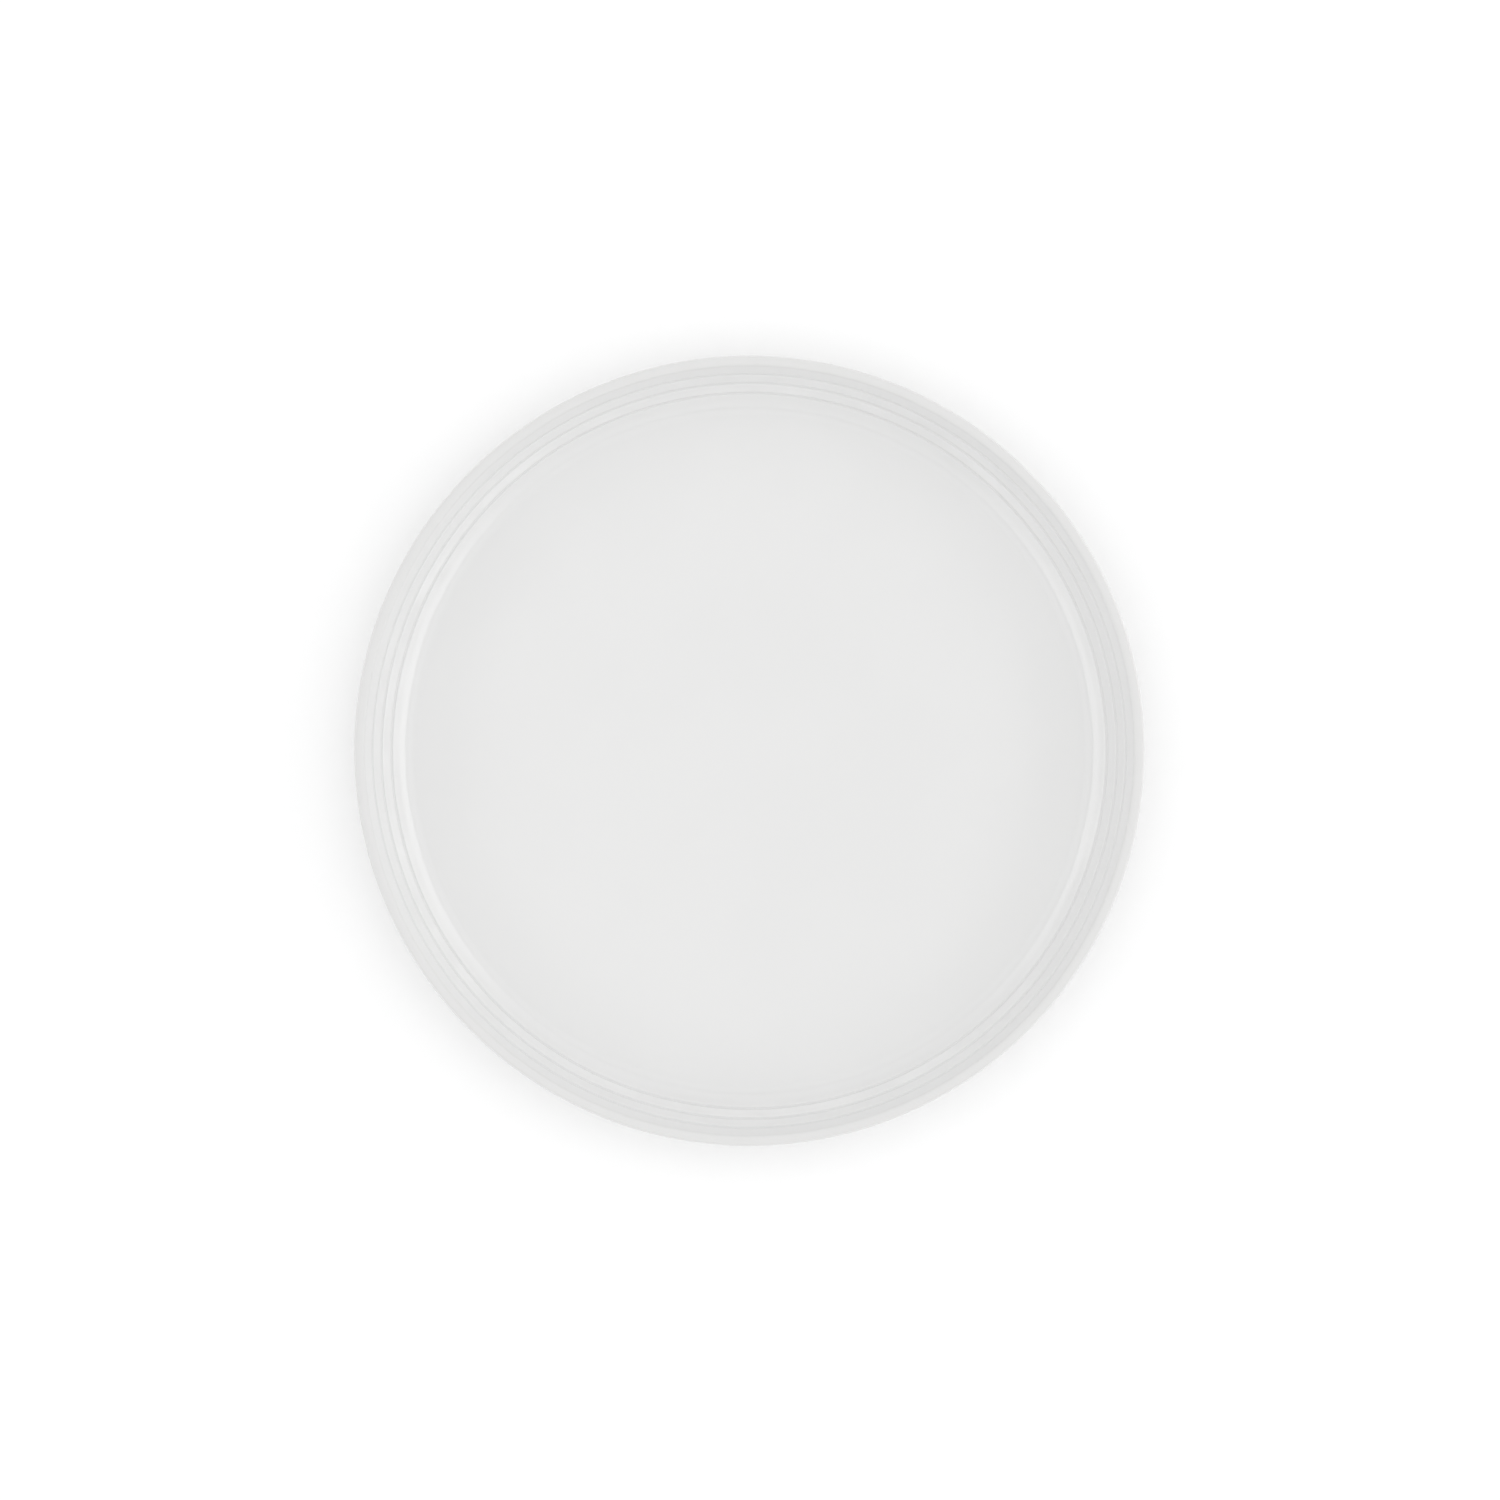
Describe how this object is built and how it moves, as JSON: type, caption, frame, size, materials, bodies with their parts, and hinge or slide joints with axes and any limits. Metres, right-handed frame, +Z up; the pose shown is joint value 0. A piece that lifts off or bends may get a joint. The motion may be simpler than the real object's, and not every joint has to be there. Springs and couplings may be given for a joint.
{
  "type": "dinner plate",
  "caption": "Shallow round stoneware plate in white glaze: flat well, low curved wall with fine grooves round the inside, rounded lip and a foot ring below.",
  "frame": {"origin": "centre of the foot ring, on the surface that the plate stands on", "axes": "+Z is up along the plate's axis of revolution; X and Y are level and interchangeable"},
  "size_m": [0.27, 0.27, 0.0251],
  "materials": {
    "white_glaze": "glossy white glaze over stoneware, bare on the flat face of the foot ring"
  },
  "bodies": {
    "root": {"plate": "white_glaze"}
  },
  "joints": []
}
